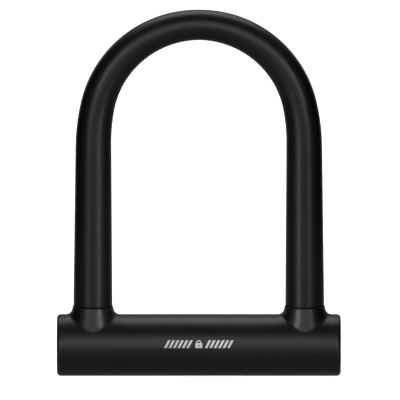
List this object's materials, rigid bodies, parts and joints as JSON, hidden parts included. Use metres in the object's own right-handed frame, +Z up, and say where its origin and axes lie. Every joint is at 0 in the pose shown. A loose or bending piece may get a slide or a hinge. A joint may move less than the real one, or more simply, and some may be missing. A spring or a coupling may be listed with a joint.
{
  "type": "u lock",
  "caption": "Bicycle U lock: a sleeved round steel shackle whose notched feet drop into a round cross bar holding sliding bolts and a disc cylinder with a dust shutter.",
  "frame": {"origin": "under the middle of the cross bar, at its lowest line", "axes": "+X along the cross bar, +Y away from the printed front, +Z up the shackle's legs"},
  "size_m": [0.1722, 0.0376, 0.2247],
  "materials": {
    "hardened_steel": "ground and hardened",
    "plain_steel": "zinc plated",
    "moulded_black": "satin moulded",
    "cap_black": "satin",
    "bezel_black": "fine texture",
    "guide_plastic": "smooth",
    "seal_rubber": "matt",
    "cast_metal": "as cast zinc alloy",
    "brass": "machined",
    "print_grey": "flat ink"
  },
  "bodies": {
    "crossbar": {"crossbar_tube": "hardened_steel", "crossbar_cover": "moulded_black", "end_plug_left": "plain_steel", "end_plug_right": "plain_steel", "end_plug_pins": "plain_steel", "end_cap_left": "cap_black", "end_cap_right": "cap_black", "leg_guide_left": "guide_plastic", "leg_guide_right": "guide_plastic", "leg_seal_left": "seal_rubber", "leg_seal_right": "seal_rubber", "foot_pad_left": "seal_rubber", "foot_pad_right": "seal_rubber", "carrier_base": "cast_metal", "carrier_lid": "cast_metal", "carrier_pins": "plain_steel", "lid_screws": "plain_steel", "cylinder_housing": "brass", "housing_pin": "plain_steel", "housing_cap": "brass", "keyhole_bezel": "bezel_black", "bezel_screws": "plain_steel", "printed_mark": "print_grey"},
    "shackle": {"shackle_bar": "hardened_steel", "shackle_sleeve": "moulded_black"},
    "core": {"plug": "brass", "anti_drill_plate": "hardened_steel", "detainer_discs": "brass", "disc_spacers": "plain_steel", "disc_spring": "plain_steel", "sidebar": "plain_steel", "plug_tail": "plain_steel", "cam": "plain_steel", "drive_pins": "hardened_steel", "cam_screw": "plain_steel"},
    "bolt_left": {"bolt_left": "hardened_steel"},
    "bolt_right": {"bolt_right": "hardened_steel"},
    "shutter": {"shutter": "bezel_black"}
  },
  "joints": [
    {"name": "shackle_slide", "type": "slide", "parent": "crossbar", "child": "shackle", "axis": [0, 0, 1], "range_m": [0, 0.04]},
    {"name": "plug_turn", "type": "hinge", "parent": "crossbar", "child": "core", "pos_m": [0, 0, 0.01], "axis": [0, 0, -1], "range_deg": [0, 90]},
    {"name": "bolt_right_slide", "type": "slide", "parent": "crossbar", "child": "bolt_right", "axis": [1, 0, 0], "range_m": [0, 0.00707]},
    {"name": "bolt_left_slide", "type": "slide", "parent": "crossbar", "child": "bolt_left", "axis": [-1, 0, 0], "range_m": [0, 0.00707]},
    {"name": "shutter_slide", "type": "slide", "parent": "crossbar", "child": "shutter", "axis": [1, 0, 0], "range_m": [0, 0.0165]}
  ],
  "couplings": [
    {"joint": "plug_turn", "follows": "bolt_right_slide", "rad_per_m": 222.14},
    {"joint": "bolt_left_slide", "follows": "bolt_right_slide", "ratio": 1}
  ]
}
